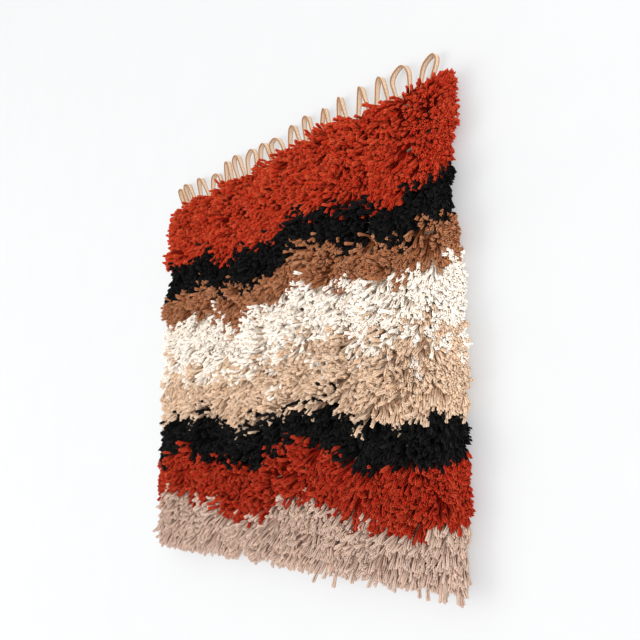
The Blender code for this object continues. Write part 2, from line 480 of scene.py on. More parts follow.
class WeaveMaterial:
    """The ground cloth's plain weave, with painted shade between its threads and paler slubs."""

    PITCH = 0.0017
    WARP = (0.56, 0.41, 0.26)
    WEFT = (0.68, 0.53, 0.37)
    GAP_SHADE = (0.24, 0.16, 0.09)
    SLUB = (0.80, 0.68, 0.52)
    FULL_HEIGHT = 1.2
    GAP_SHADE_WEIGHT = 0.55
    PALER = 0.3

    def build(self) -> bpy.types.Material:
        """Wire the material.

        Returns:
            The finished material.
        """
        material, wire, shader = new_material("ground_cloth_weave")
        weave = wire.add("ShaderNodeGroup", {"Pitch": self.PITCH}, node_tree=WeaveGroup.get()).outputs
        colour = wire.mix(weave["Weft"], self.WARP, self.WEFT)
        # Painted shade: the colour darkens where the weave lies low between its threads.
        gap_shade = wire.math("MULTIPLY", wire.math("SUBTRACT", self.FULL_HEIGHT, weave["Height"]), self.GAP_SHADE_WEIGHT)
        colour = wire.mix(gap_shade, colour, self.GAP_SHADE)
        colour = wire.mix(wire.math("MULTIPLY", weave["Slub"], self.PALER), colour, self.SLUB)
        wire.feed(shader, {"Base Color": colour, "Normal": wire.bump(weave["Height"], 0.9, 0.0005)})
        return material


def placed(name: str, data: bpy.types.ID) -> bpy.types.Object:
    """Put an object in the scene.

    Args:
        name: the object's name.
        data: its mesh, lamp or camera.

    Returns:
        The object.
    """
    item = bpy.data.objects.new(name, data)
    bpy.context.scene.collection.objects.link(item)
    return item


def placed_shape(name: str, shape: bmesh.types.BMesh, material: bpy.types.Material) -> bpy.types.Object:
    """Put a shape in the scene and free it.

    Args:
        name: the object's name.
        shape: its shape.
        material: its material.

    Returns:
        The object.
    """
    mesh = bpy.data.meshes.new(name)
    shape.to_mesh(mesh)
    shape.free()
    mesh.materials.append(material)
    return placed(name, mesh)


@dataclass
class StrandForm:
    """The template of one soft yarn end: a unit tube up Z whose Z is its share of the length.

    Args:
        sides: sides of the tube.
        steps: lengths that the tube bends in.
        tip: whether its cut face is closed and domed.
    """

    sides: int = 5
    steps: int = 4
    tip: bool = True

    def build(self) -> bmesh.types.BMesh:
        """Shape the tube with an open root.

        Returns:
            The template, with its root at Z = 0 and its tip ring at Z = 1.
        """
        shape = bmesh.new()
        bmesh.ops.create_cone(
            shape, cap_ends=True, segments=self.sides, radius1=1.0, radius2=1.0, depth=1.0
        )
        bmesh.ops.translate(shape, verts=shape.verts, vec=(0, 0, 0.5))
        root = [f for f in shape.faces if len(f.verts) == self.sides and f.calc_center_median().z < 0.5]
        bmesh.ops.delete(shape, geom=root, context="FACES_ONLY")
        lengthwise = [e for e in shape.edges if abs(e.verts[0].co.z - e.verts[1].co.z) > 0.5]
        bmesh.ops.subdivide_edges(shape, edges=lengthwise, cuts=self.steps - 1)
        cut_face = [f for f in shape.faces if f.calc_center_median().z > 0.999]
        if self.tip:
            bmesh.ops.poke(shape, faces=cut_face)
        else:
            bmesh.ops.delete(shape, geom=cut_face, context="FACES_ONLY")
        shape.verts.ensure_lookup_table()
        return shape


@dataclass
class Crowding:
    """Pushes crowded yarn ends apart, as they stand in a packed pile.

    Args:
        gap: least distance between points of two ends.
        rounds: how often they are pushed.
        ease: share of each overlap that one push takes out.
    """

    gap: float = 0.0032
    rounds: int = 14
    ease: float = 0.6

    def pairs(self, spots: np.ndarray) -> tuple[np.ndarray, np.ndarray]:
        """Find points that lie in the same or in neighbouring cells.

        Args:
            spots: the points, as points x 3.

        Returns:
            The numbers of the first and of the second point of each pair.
        """
        cell = np.floor((spots - spots.min(axis=0)) / self.gap).astype(np.int64) + 1
        wide = cell.max(axis=0) + 2
        key = (cell[:, 0] * wide[1] + cell[:, 1]) * wide[2] + cell[:, 2]
        order = np.argsort(key, kind="stable")
        ranked = key[order]
        place = np.arange(len(ranked))
        shifts = sorted(
            (a * wide[1] + b) * wide[2] + c
            for a in (-1, 0, 1) for b in (-1, 0, 1) for c in (-1, 0, 1)
        )
        firsts = []
        seconds = []
        for shift in shifts[13:]:
            aim = ranked + shift
            other = place + 1 if shift == 0 else np.searchsorted(ranked, aim)
            live = place
            while len(live):
                inside = other[live] < len(ranked)
                live = live[inside]
                live = live[ranked[other[live]] == aim[live]]
                firsts.append(order[live])
                seconds.append(order[other[live]])
                other = other + 1
        return np.concatenate(firsts), np.concatenate(seconds)

    def spread(self, paths: np.ndarray, front: Callable[[np.ndarray], np.ndarray]) -> np.ndarray:
        """Push the ends apart and keep each one's length.

        Args:
            paths: the ends' paths, as ends x levels x 3.
            front: gives the largest Y allowed at each height.

        Returns:
            The moved paths.
        """
        ends, levels, _ = paths.shape
        steps = np.linalg.norm(np.diff(paths, axis=1), axis=2)
        owner = np.repeat(np.arange(ends), levels - 1)
        give = np.tile(np.linspace(0.25, 1.0, levels - 1), ends)[:, None]
        for _ in range(self.rounds):
            spots = paths[:, 1:].reshape(-1, 3)
            first, second = self.pairs(spots)
            apart = spots[first] - spots[second]
            distance = np.linalg.norm(apart, axis=1)
            near = (distance < self.gap) & (owner[first] != owner[second])
            first, second = first[near], second[near]
            push = apart[near] * ((self.gap / np.maximum(distance[near], 1e-5) - 1) * 0.5)[:, None]
            moved = np.empty_like(spots)
            for axis in range(3):
                moved[:, axis] = np.bincount(first, push[:, axis], len(spots))
                moved[:, axis] -= np.bincount(second, push[:, axis], len(spots))
            paths[:, 1:] += (moved * give * self.ease).reshape(ends, levels - 1, 3)
            paths[:, 1:, 1] = np.minimum(paths[:, 1:, 1], front(paths[:, 1:, 2]))
            for level in range(1, levels):
                run = paths[:, level] - paths[:, level - 1]
                run *= (steps[:, level - 1] / np.linalg.norm(run, axis=1))[:, None]
                paths[:, level] = paths[:, level - 1] + run
        return paths


@dataclass
class Swarm:
    """Many bent copies of one template tube, gathered as arrays for one joined mesh.

    Args:
        template: the tube to copy.
        paths: a path for each copy, as an array of copies x levels x 3.
        radii: the tube's radius at each level of each copy.
        tones: two shades for each copy, between 0 and 1.
        dome: how far a closed tip's middle is raised.
        ragged: how unevenly the tips are cut, as a share of the radius.
        root: the share of the whole end at each copy's root.
        tip: the share of the whole end at each copy's tip.
        side: axis that every copy's first side vector keeps to, where its path runs square to it.
    """

    template: bmesh.types.BMesh
    paths: np.ndarray
    radii: np.ndarray
    tones: np.ndarray
    dome: float = 0.0005
    ragged: float = 0.0
    root: float = 0.0
    tip: float = 1.0
    side: int | None = None

    @staticmethod
    def frames(paths: np.ndarray, side: int | None = None) -> tuple[np.ndarray, np.ndarray, np.ndarray]:
        """Find the directions of each path at each level.

        Args:
            paths: the paths.
            side: axis that the first side vector keeps to, or None.

        Returns:
            The run along the path and two side vectors.
        """
        run = np.gradient(paths, axis=1)
        run /= np.linalg.norm(run, axis=2, keepdims=True)
        if side is None:
            across = np.cross(run, np.array((1.0, 0.13, 0.07)))
            across /= np.linalg.norm(across, axis=2, keepdims=True)
        else:
            across = np.zeros_like(run)
            across[:, :, side] = 1.0
        return run, across, np.cross(run, across)

    def arrays(self) -> dict[str, np.ndarray]:
        """Bend every copy along its path.

        Returns:
            Points, face corners, face starts, UVs and shades of the joined mesh.
        """
        copies, levels, _ = self.paths.shape
        forms = self.template.verts
        place = np.array([v.co for v in forms])
        step = np.clip(np.rint(place[:, 2] * (levels - 1)).astype(int), 0, levels - 1)
        run, across, up = self.frames(self.paths, self.side)
        inner = (step == levels - 1) & (np.hypot(place[:, 0], place[:, 1]) < 0.9)
        width = self.radii[:, step][:, :, None]
        wild = np.random.default_rng(copies).normal(0, self.ragged, (copies, len(forms), 1))
        width = width * (1 + np.clip(wild, -0.4, 0.4))
        ahead = (inner * self.dome)[None, :, None] + wild * 1.6 * MM * (step > 0)[None, :, None]
        points = (
            self.paths[:, step]
            + across[:, step] * place[None, :, 0:1] * width
            + up[:, step] * place[None, :, 1:2] * width
            + run[:, step] * ahead
        )
        corners = np.array([loop.vert.index for f in self.template.faces for loop in f.loops])
        sizes = np.array([len(f.verts) for f in self.template.faces])
        shades = np.empty((copies, len(forms), 4), np.float32)
        shades[:, :, 0] = self.root + (self.tip - self.root) * place[None, :, 2]
        shades[:, :, 1:3] = self.tones[:, None, :]
        shades[:, :, 3] = 1.0
        lengths = np.linalg.norm(np.diff(self.paths, axis=1), axis=2).sum(axis=1)
        around = self.corner_turns()
        rise = place[corners, 2]
        turned = np.empty((copies, len(corners), 2), np.float32)
        turned[:, :, 0] = around[None, :] + self.tones[:, 0:1]
        turned[:, :, 1] = rise[None, :] * lengths[:, None]
        return {
            "points": points.reshape(-1, 3),
            "corners": (corners[None, :] + np.arange(copies)[:, None] * len(forms)).ravel(),
            "sizes": np.tile(sizes, copies),
            "uvs": turned.reshape(-1, 2),
            "shades": shades.reshape(-1, 4),
        }

    def corner_turns(self) -> np.ndarray:
        """Find how far round the tube each face corner lies.

        Returns:
            Shares of a full turn, with no jump inside a face.
        """
        turns = []
        for face in self.template.faces:
            middle = face.calc_center_median()
            base = math.atan2(middle.y, middle.x)
            for loop in face.loops:
                spot = loop.vert.co
                if math.hypot(spot.x, spot.y) < 0.1:
                    turns.append(base / FULL_TURN)
                    continue
                angle = math.atan2(spot.y, spot.x)
                turn = (angle - base + math.pi) % FULL_TURN - math.pi
                turns.append((base + turn) / FULL_TURN)
        return np.array(turns)


def joined_piece(name: str, swarms: list[Swarm], material: bpy.types.Material) -> bpy.types.Object:
    """Make one piece from swarms of copies.

    Args:
        name: the piece's name.
        swarms: the swarms that it holds.
        material: its material.

    Returns:
        The new object, smooth shaded, with UV map "yarn" and colour attribute "strand".
    """
    parts = [swarm.arrays() for swarm in swarms]
    offsets = np.cumsum([0] + [len(part["points"]) for part in parts[:-1]])
    for part, shift in zip(parts, offsets):
        part["corners"] = part["corners"] + shift
    whole = {key: np.concatenate([part[key] for part in parts]) for key in parts[0]}
    starts = np.concatenate(([0], np.cumsum(whole["sizes"])[:-1]))
    mesh = bpy.data.meshes.new(name)
    mesh.vertices.add(len(whole["points"]))
    mesh.vertices.foreach_set("co", whole["points"].astype(np.float32).ravel())
    mesh.loops.add(len(whole["corners"]))
    mesh.loops.foreach_set("vertex_index", whole["corners"].astype(np.int32))
    mesh.polygons.add(len(starts))
    mesh.polygons.foreach_set("loop_start", starts.astype(np.int32))
    mesh.update(calc_edges=True)
    mesh.validate()
    mesh.uv_layers.new(name="yarn").data.foreach_set("uv", whole["uvs"].ravel())
    shades = mesh.color_attributes.new("strand", "FLOAT_COLOR", "POINT")
    shades.data.foreach_set("color", whole["shades"].ravel())
    mesh.shade_smooth()
    mesh.materials.append(material)
    return placed(name, mesh)


def triangles(item: bpy.types.Object) -> int:
    """Return how many triangles an object's mesh has."""
    return sum(len(f.vertices) - 2 for f in item.data.polygons)


def fade(distance: np.ndarray, reach: float) -> np.ndarray:
    """Return 1 at no distance, falling to about a third at the reach."""
    return np.exp(-distance / reach)


@dataclass
class Locks:
    """Uneven groups of neighbouring knots whose ends lean and gather together.

    Args:
        spacing: distance between the middles of two locks.
        gather: how far the tips draw towards their lock's middle, as a share of their distance.
        lean: how far whole locks lean for each unit that they stand out.
        relief: how much whole locks differ in length.
        overlap: how far neighbouring locks run into each other.
    """

    spacing: float = 0.021
    gather: float = 0.34
    lean: float = 0.50
    relief: float = 0.0048
    overlap: float = 0.0030

    def place(self, x: np.ndarray, z: np.ndarray, reach: float, rng: np.random.Generator) -> np.ndarray:
        """Give every knot its lock's lean and length.

        Args:
            x: the knots' X.
            z: the knots' Z.
            reach: how far the pile stands out.
            rng: source of the locks' middles and leans.

        Returns:
            For each knot the lean along X, the lean along Z and the added length.
        """
        middle_x, middle_z = np.meshgrid(
            np.arange(x.min(), x.max() + self.spacing, self.spacing),
            np.arange(z.min(), z.max() + self.spacing, self.spacing),
        )
        middles = np.stack((middle_x.ravel(), middle_z.ravel()), axis=1)
        middles += rng.normal(0, self.spacing * 0.30, middles.shape)
        away = middles[None] - np.stack((x, z), axis=1)[:, None]
        distance = np.linalg.norm(away, axis=2)
        share = np.exp((distance.min(axis=1, keepdims=True) - distance) / self.overlap)
        share /= share.sum(axis=1, keepdims=True)
        toward = (share[:, :, None] * away).sum(axis=1) * self.gather / reach
        tilt = share @ rng.normal(0, self.lean, middles.shape)
        grown = share @ rng.normal(0, self.relief, len(middles))
        return np.column_stack((toward + tilt, grown))


@dataclass
class ShagPile:
    """The knotted pile: rows of knots, each with a fan of cut ends in front and a bar behind the cloth.

    Args:
        pitch_x: distance between the knots of a row.
        pitch_z: distance between rows.
        margin: how far in from the cloth's edges the outer knots sit.
        ends_per_knot: cut ends in one knot.
        bundle: half the width of a knot's bundle of ends at the cloth.
        fan: how far a knot's ends spread for each unit that they stand out.
        length: length of a cut end from the cloth to its tip.
        length_spread: how much single ends differ in length.
        longest: length of the longest end.
        loose_length: how much longer the few loose ends at the foot are.
        radius: half the yarn's thickness.
        foot: how much thicker an end is at its knot.
        plies: plies in the yarn, which part at its tip.
        droop: how far the ends hang down for each unit that they stand out.
        sag: further hang towards the tips.
        stray: how far a single end leans away from its neighbours.
        curl: how far a single end hooks to one side towards its tip.
        levels: points along an end's path.
        parting: share of an end's length at which its plies part.
        wave_height: half the height of the waves in the bands.
        wave_length: their length.
        right_edge: lean past the right edge at evenly spaced heights, from the top down.
        pieces: the finished pieces.
    """

    pitch_x: float = 0.0092
    pitch_z: float = 0.0106
    margin: float = 0.0032
    ends_per_knot: int = 7
    bundle: float = 0.0026
    fan: float = 0.18
    length: float = 0.0290
    length_spread: float = 0.0022
    longest: float = 0.0338
    loose_length: float = 0.0085
    radius: float = 0.00155
    foot: float = 2.0
    plies: int = 3
    droop: float = 0.50
    sag: float = 0.45
    stray: float = 0.22
    curl: float = 0.56
    levels: int = 9
    parting: float = 0.42
    wave_height: float = 0.011
    wave_length: float = 0.243
    right_edge: tuple[float, ...] = (
        1.5, 1.7, 0.7, 0.1, 0.0, 0.8, 1.5, 0.9, 1.2, 1.0, 0.8, 0.8, 1.2, 0.5, 0.3
    )
    pieces: list[bpy.types.Object] = field(default_factory=list)

    def knots(self, rng: np.random.Generator) -> tuple[np.ndarray, np.ndarray]:
        """Place the knots.

        Args:
            rng: source of the small shifts.

        Returns:
            The knots' X and Z.
        """
        half = (RIGHT - LEFT) / 2 - self.margin
        low, high = BOTTOM + self.margin, TOP - self.margin
        columns = round(2 * half / self.pitch_x) + 1
        rows = round((high - low) / self.pitch_z) + 1
        upright = high - (high - low) * np.linspace(1, 0, rows) ** 1.07
        x, z = np.meshgrid(np.linspace(-half, half, columns), upright)
        x[::2] += self.pitch_x * 0.25
        x[1::2] -= self.pitch_x * 0.25
        between = z[:-1, :3].ravel() + self.pitch_z / 2
        sides = np.tile((-half, half - self.pitch_x / 2, half), len(between) // 3)
        x = np.concatenate((np.clip(x.ravel(), -half, half), sides))
        z = np.concatenate((z.ravel(), between))
        return x + rng.normal(0, 0.0007, x.size), z + rng.normal(0, 0.0007, z.size)

    def band_of(self, x: np.ndarray, z: np.ndarray, rng: np.random.Generator) -> np.ndarray:
        """Find each knot's band.

        Args:
            x: the knots' X.
            z: the knots' Z.
            rng: source of the strays over an edge.

        Returns:
            The bands' numbers.
        """
        wave = self.wave_height * np.sin(FULL_TURN * x / self.wave_length)
        drop = TOP - (z - wave)
        band = np.zeros(len(x), int)
        for number, row in enumerate(BANDS[:-1]):
            edge = row.lower_edge * (TOP - BOTTOM) + rng.normal(0, 1, len(x)) * row.blend
            band = np.where((band == number) & (drop > edge), number + 1, band)
        return band

    def lean(self, x: np.ndarray, z: np.ndarray) -> tuple[np.ndarray, np.ndarray]:
        """Find how far each knot leans because of where it sits.

        Every term is the lean at one edge, which fades with the distance from that edge.

        Args:
            x: the knots' X.
            z: the knots' Z.

        Returns:
            The leans along X and along Z.
        """
        right, left, above, below = RIGHT - x, x - LEFT, TOP - z, z - BOTTOM
        heights = np.linspace(TOP, BOTTOM, len(self.right_edge))
        outward = np.interp(-z, -heights, self.right_edge)
        lean_x = 0.10 + 0.42 * fade(right, 0.090) + outward * 1.40 * fade(right, 0.020)
        lean_x -= 0.20 * fade(left, 0.050) + 0.50 * fade(left, 0.012)
        lean_z = 0.55 * fade(above, 0.014) - self.droop
        lean_z -= 0.35 * fade(below, 0.040) + 0.70 * fade(below, 0.010)
        lean_z -= 0.25 * fade(left, 0.030)
        lean_z -= 0.60 * fade(right, 0.060) * (1 - fade(above, 0.050))
        lean_z += 0.25 * fade(above, 0.030) * fade(right, 0.035)
        return lean_x, lean_z

    def lengths(
        self, x: np.ndarray, z: np.ndarray, grown: np.ndarray, rng: np.random.Generator
    ) -> np.ndarray:
        """Draw every cut end's length: longer at the foot, shorter at the left and the top.

        Args:
            x: X of each end's knot.
            z: Z of each end's knot.
            grown: length that each end's lock adds.
            rng: source of the spread and of the loose ends.

        Returns:
            The lengths.
        """
        length = self.length + grown + rng.normal(0, self.length_spread, len(x))
        length += 0.0060 * fade(z - BOTTOM, 0.010)
        length -= 0.0045 * fade(x - LEFT, 0.022)
        length -= 0.0040 * fade(TOP - z, 0.008)
        length = np.minimum(length, self.longest)
        loose = fade(z - BOTTOM, 0.008) * fade(RIGHT - x, 0.11)
        return length + self.loose_length * (rng.random(len(x)) < 0.16 * loose)

    def ends(self, knot_x: np.ndarray, knot_z: np.ndarray, rng: np.random.Generator) -> np.ndarray:
        """Draw every cut end's path, and push crowded ends apart.

        Args:
            knot_x: the knots' X.
            knot_z: the knots' Z.
            rng: source of lengths, fans and curls.

        Returns:
            Paths as ends x levels x 3, the ends of one knot one after another.
        """
        each = self.ends_per_knot
        count = len(knot_x) * each
        calm = 1 - 0.6 * fade(TOP - knot_z, 0.010)
        held = calm * (1 - 0.7 * fade(knot_z - BOTTOM, 0.016))
        held *= 1 - 0.55 * fade(RIGHT - knot_x, 0.045)
        locks = Locks().place(knot_x, knot_z, self.length * 0.8, rng) * held[:, None]
        lean_x, lean_z = self.lean(knot_x, knot_z)
        spin = np.repeat(rng.random(len(knot_x)) * SPIN, each)
        turn = np.arange(count) % each * (FULL_TURN / each) + spin
        out = np.sqrt(rng.uniform(0.35, 1.0, count))
        off_x, off_z = np.cos(turn) * out, np.sin(turn) * out
        stray = rng.normal(0, self.stray, (count, 2)) * np.repeat(calm, each)[:, None]
        aim_x = np.repeat(lean_x + locks[:, 0], each) + off_x * self.fan * 1.3 + stray[:, 0]
        aim_z = np.repeat(lean_z + locks[:, 1], each) + off_z * self.fan + stray[:, 1]
        x, z, grown = (np.repeat(values, each) for values in (knot_x, knot_z, locks[:, 2]))
        length = self.lengths(x, z, grown, rng)
        share = (np.arange(self.levels - 1) + 0.5) / (self.levels - 1)
        bend = rng.normal(0, self.curl, (count, 2)) * np.repeat(calm, each)[:, None]
        aim = np.empty((count, self.levels - 1, 3))
        hook = 1.4 * share ** 2 - 0.25
        aim[:, :, 0] = aim_x[:, None] + bend[:, :1] * hook
        aim[:, :, 1] = -1.0
        aim[:, :, 2] = aim_z[:, None] + bend[:, 1:] * hook - self.sag * share ** 1.5
        aim /= np.linalg.norm(aim, axis=2, keepdims=True)
        paths = np.empty((count, self.levels, 3))
        paths[:, 0, 0] = x + off_x * self.bundle * 1.2
        tilt = np.hypot(aim[:, 0, 0], aim[:, 0, 2])
        paths[:, 0, 1] = CLOTH_LOW.y + (0.1 - 1.5 * tilt) * MM
        paths[:, 0, 2] = z + off_z * self.bundle * 0.8
        stride = (length / (self.levels - 1))[:, None, None]
        paths[:, 1:] = paths[:, :1] + np.cumsum(aim * stride, axis=1)
        return Crowding().spread(paths, self.front)

    def front(self, z: np.ndarray) -> np.ndarray:
        """Find how far back an end may reach and still clear the cloth and the loops.

        Args:
            z: the heights.

        Returns:
            The largest Y at each height.
        """
        near_cloth = CLOTH_LOW.y - self.radius - MM / 2
        near_loops = LOOPS_LOW.y - self.radius - MM / 2
        share = np.clip((z - TOP + 0.014) / 0.011, 0, 1)
        return near_cloth + (near_loops - near_cloth) * share

    def cores(self, paths: np.ndarray) -> tuple[np.ndarray, np.ndarray]:
        """Take the lower halves of the ends, which spread out at the knot.

        Args:
            paths: the ends' paths.

        Returns:
            Paths and radii of the lower halves.
        """
        lower = paths[:, (0, self.levels // 2)]
        return lower, np.full(lower.shape[:2], self.radius) * np.array((self.foot, 1.0))

    def split(self, paths: np.ndarray, rng: np.random.Generator) -> tuple[np.ndarray, np.ndarray]:
        """Part the upper half of every end into its plies, which fray at the tip.

        Args:
            paths: the ends' paths.
            rng: source of the fraying.

        Returns:
            Paths and radii of the plies, those of one end one after another.
        """
        at = np.array((self.parting, 0.76, 1.0)) * (self.levels - 1)
        low = np.minimum(at.astype(int), self.levels - 2)
        part = (at - low)[None, :, None]
        core = paths[:, low] * (1 - part) + paths[:, low + 1] * part
        run, across, up = Swarm.frames(core)
        turn = rng.random((len(core), 1)) * SPIN + np.array((0.0, 0.6, 1.1))[None, :]
        plies = []
        for ply in range(self.plies):
            angle = (turn + FULL_TURN * ply / self.plies)[..., None]
            out = np.array((0.40, 0.50, 0.64))[None, :, None] * self.radius
            out = out * rng.uniform(0.8, 1.3, (len(core), 1, 1))
            path = core + (across * np.cos(angle) + up * np.sin(angle)) * out
            path[:, -1] += rng.normal(0, 0.16, (len(core), 3)) * MM
            path[:, -1] += run[:, -1] * rng.normal(0, 0.5, (len(core), 1)) * MM
            plies.append(path)
        paths = np.stack(plies, axis=1).reshape(-1, len(at), 3)
        girth = self.radius * 0.66 * rng.normal(1.0, 0.09, (len(paths), 1))
        return paths, girth * np.array((0.95, 1.10, 1.16))[None, :]

    def bars(self, x: np.ndarray, z: np.ndarray) -> tuple[np.ndarray, np.ndarray]:
        """Draw the two bars that each knot shows behind the cloth.

        Args:
            x: the knots' X.
            z: the knots' Z.

        Returns:
            Paths and radii of the bars.
        """
        along = np.array((-1.0, 0.0, 1.0)) * self.pitch_x * 0.44
        lift = np.array((-0.9, 0.1, -0.9)) * MM
        paths = np.empty((len(x), 2, len(along), 3))
        paths[..., 0] = x[:, None, None] + along
        paths[..., 1] = CLOTH_HIGH.y - 1.3 * MM + lift
        paths[..., 2] = z[:, None, None] + np.array((-1.35, 1.35))[None, :, None] * MM + along * 0.05
        radii = np.tile(np.array((0.9, 1.0, 0.9)) * 1.2 * MM, (2 * len(x), 1))
        return paths.reshape(-1, len(along), 3), radii

    def build(self) -> None:
        """Make one piece for each band, replacing the solid pile."""
        rng = np.random.default_rng(SEED)
        knot_x, knot_z = self.knots(rng)
        band = self.band_of(knot_x, knot_z, rng)
        ends = self.ends(knot_x, knot_z, rng)
        core_paths, core_radii = self.cores(ends)
        paths, radii = self.split(ends, rng)
        end_band = np.repeat(band, self.ends_per_knot)
        ply_band = np.repeat(band, self.ends_per_knot * self.plies)
        end_tones = rng.random((len(ends), 2))
        tones = np.repeat(end_tones, self.plies, axis=0)
        tones = np.clip(tones + rng.normal(0, 0.10, tones.shape), 0, 1)
        bar_paths, bar_radii = self.bars(knot_x, knot_z)
        bar_band = np.repeat(band, 2)
        bar_tones = rng.random((len(bar_paths), 2)) * 0.6
        core_form = StrandForm(sides=3, steps=1, tip=False).build()
        ply_form = StrandForm(sides=3, steps=2).build()
        bar_form = StrandForm(sides=3, steps=2).build()
        frayed = {"dome": 0.0009, "ragged": 0.10, "root": self.parting}
        materials = {yarn: YarnMaterial(yarn, look).build() for yarn, look in YARN_FINISHES.items()}
        for number, row in enumerate(BANDS):
            plies = ply_band == number
            bars = bar_band == number
            own = end_band == number
            swarms = [
                Swarm(core_form, core_paths[own], core_radii[own], end_tones[own], tip=0.5),
                Swarm(ply_form, paths[plies], radii[plies], tones[plies], **frayed),
                Swarm(bar_form, bar_paths[bars], bar_radii[bars], bar_tones[bars], dome=0.0002),
            ]
            piece = joined_piece(row.piece, swarms, materials[row.yarn])
            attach(piece, "root")
            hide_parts("pile")
            self.pieces.append(piece)
            LOG.info("%s: %d plies, %d triangles", row.piece, int(plies.sum()), triangles(piece))


@dataclass
class WarpLoops:
    """The row of warp loops at the top edge, each of several twisted threads side by side.

    Args:
        threads: threads in one loop.
        radius: half a thread's thickness.
        back_rise: how much higher the rear thread's crown stands than the front one's.
        spread: how much deeper the row of threads is at the crown than at the foot.
        leg_bow: share of a side's height at which its leg meets the straight line to the foot.
        steps: points between two named places of a loop.
        softening: how often a loop's line is rounded.
        foot_depth: how far the threads go down into the heading.
        table: one row for each loop: its feet, widest places and crown.
        heading_top: height of the heading's top edge.
    """

    threads: int = 5
    radius: float = 0.00080
    back_rise: float = 0.0016
    spread: float = 0.0024
    leg_bow: float = 0.45
    steps: int = 4
    softening: int = 6
    foot_depth: float = 0.005
    # foot_l, side_l, side_l_up, crown, crown_up, side_r, side_r_up, foot_r, in millimetres
    table: tuple[tuple[float, ...], ...] = (
        (-238.5, -253.0, 27.0, -249.0, 31.0, -243.0, 28.0, -230.0),
        (-219.5, -238.5, 30.0, -234.0, 33.5, -226.0, 29.5, -206.5),
        (-192.5, -200.8, 28.5, -196.0, 31.5, -189.0, 25.0, -172.5),
        (-163.0, -162.0, 20.5, -152.5, 24.5, -143.5, 17.0, -139.0),
        (-128.0, -130.0, 29.0, -127.0, 34.0, -122.5, 27.5, -114.0),
        (-100.0, -112.0, 29.0, -105.5, 35.5, -98.0, 28.0, -85.5),
        (-77.5, -80.5, 22.5, -69.5, 32.0, -60.8, 22.0, -59.5),
        (-50.0, -51.5, 24.5, -44.3, 31.0, -36.5, 22.0, -27.0),
        (-19.5, -30.0, 23.0, -18.7, 28.5, -6.5, 16.0, 0.5),
        (8.0, 9.5, 27.0, 14.8, 32.5, 19.8, 27.0, 31.0),
        (39.0, 35.2, 30.0, 40.0, 35.0, 46.0, 28.0, 55.0),
        (64.5, 69.5, 23.5, 73.2, 31.5, 76.5, 22.0, 82.0),
        (95.5, 96.5, 28.0, 99.0, 34.5, 102.0, 26.0, 110.5),
        (126.0, 130.0, 27.0, 132.2, 33.0, 135.8, 25.5, 143.5),
        (153.5, 157.2, 26.0, 161.5, 31.5, 166.8, 21.0, 172.0),
        (182.5, 177.0, 21.0, 192.5, 31.0, 201.5, 20.0, 201.0),
        (214.0, 220.0, 17.0, 233.5, 24.0, 238.0, 17.0, 229.0),
    )
    heading_top: float = -0.0320

    def centre_line(self, row: tuple[float, ...]) -> np.ndarray:
        """Draw the smooth centre line of one loop.

        Args:
            row: the loop's row of the table.

        Returns:
            Points as X and Z, from below one foot over the crown to below the other.
        """
        foot_l, side_l, side_l_up, crown, crown_up, side_r, side_r_up, foot_r = row
        sunk = -self.foot_depth / MM
        named = np.array((
            (foot_l, sunk),
            (foot_l, 0.0),
            ((foot_l + side_l) / 2, side_l_up * self.leg_bow),
            (side_l, side_l_up),
            ((side_l + crown) / 2, (crown_up * 2 + side_l_up) / 3),
            (crown, crown_up),
            ((side_r + crown) / 2, (crown_up * 2 + side_r_up) / 3),
            (side_r, side_r_up),
            ((foot_r + side_r) / 2, side_r_up * self.leg_bow),
            (foot_r, 0.0),
            (foot_r, sunk),
        )) * MM
        named[:, 1] += self.heading_top
        slope = np.gradient(named, axis=0)
        line = []
        for i in range(len(named) - 1):
            for t in np.arange(self.steps) / self.steps:
                line.append(
                    named[i] * (2 * t ** 3 - 3 * t ** 2 + 1)
                    + slope[i] * (t ** 3 - 2 * t ** 2 + t)
                    + named[i + 1] * (3 * t ** 2 - 2 * t ** 3)
                    + slope[i + 1] * (t ** 3 - t ** 2)
                )
        line.append(named[-1])
        line = np.array(line)
        for _ in range(self.softening):
            line[1:-1] = (line[:-2] + 2 * line[1:-1] + line[2:]) / 4
        return line

    def build(self) -> bpy.types.Object:
        """Make the loops' threads as one piece.

        Returns:
            The piece.
        """
        rng = np.random.default_rng(SEED + 1)
        paths = []
        tones = []
        for row in self.table:
            line = self.centre_line(row)
            rise = np.clip((line[:, 1] - self.heading_top) / (row[4] * MM), 0, 1)
            for thread in range(self.threads):
                share = thread / (self.threads - 1)
                path = np.empty((len(line), 3))
                path[:, 0] = line[:, 0] + rise * rng.normal(0, 0.25 * MM)
                depth = -LOOPS_LOW.y + rise * self.spread - 2 * self.radius
                path[:, 1] = (share - 1) * depth - self.radius
                path[:, 2] = line[:, 1] + rise * (share * self.back_rise + rng.normal(0, 0.25 * MM))
                paths.append(path)
                # The first tone is the thread's place from front to rear, which sets its painted shade and
                # light.
                tones.append((share, rng.random()))
        paths = np.array(paths)
        radii = np.full(paths.shape[:2], self.radius)
        form = StrandForm(sides=5, steps=paths.shape[1] - 1).build()
        swarm = Swarm(form, paths, radii, np.array(tones), dome=0.0001, side=1)
        piece = joined_piece("warp_loops", [swarm], WarpMaterial().build())
        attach(piece, "root")
        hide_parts("hanging_loops")
        LOG.info("warp_loops: %d threads, %d triangles", len(paths), triangles(piece))
        return piece


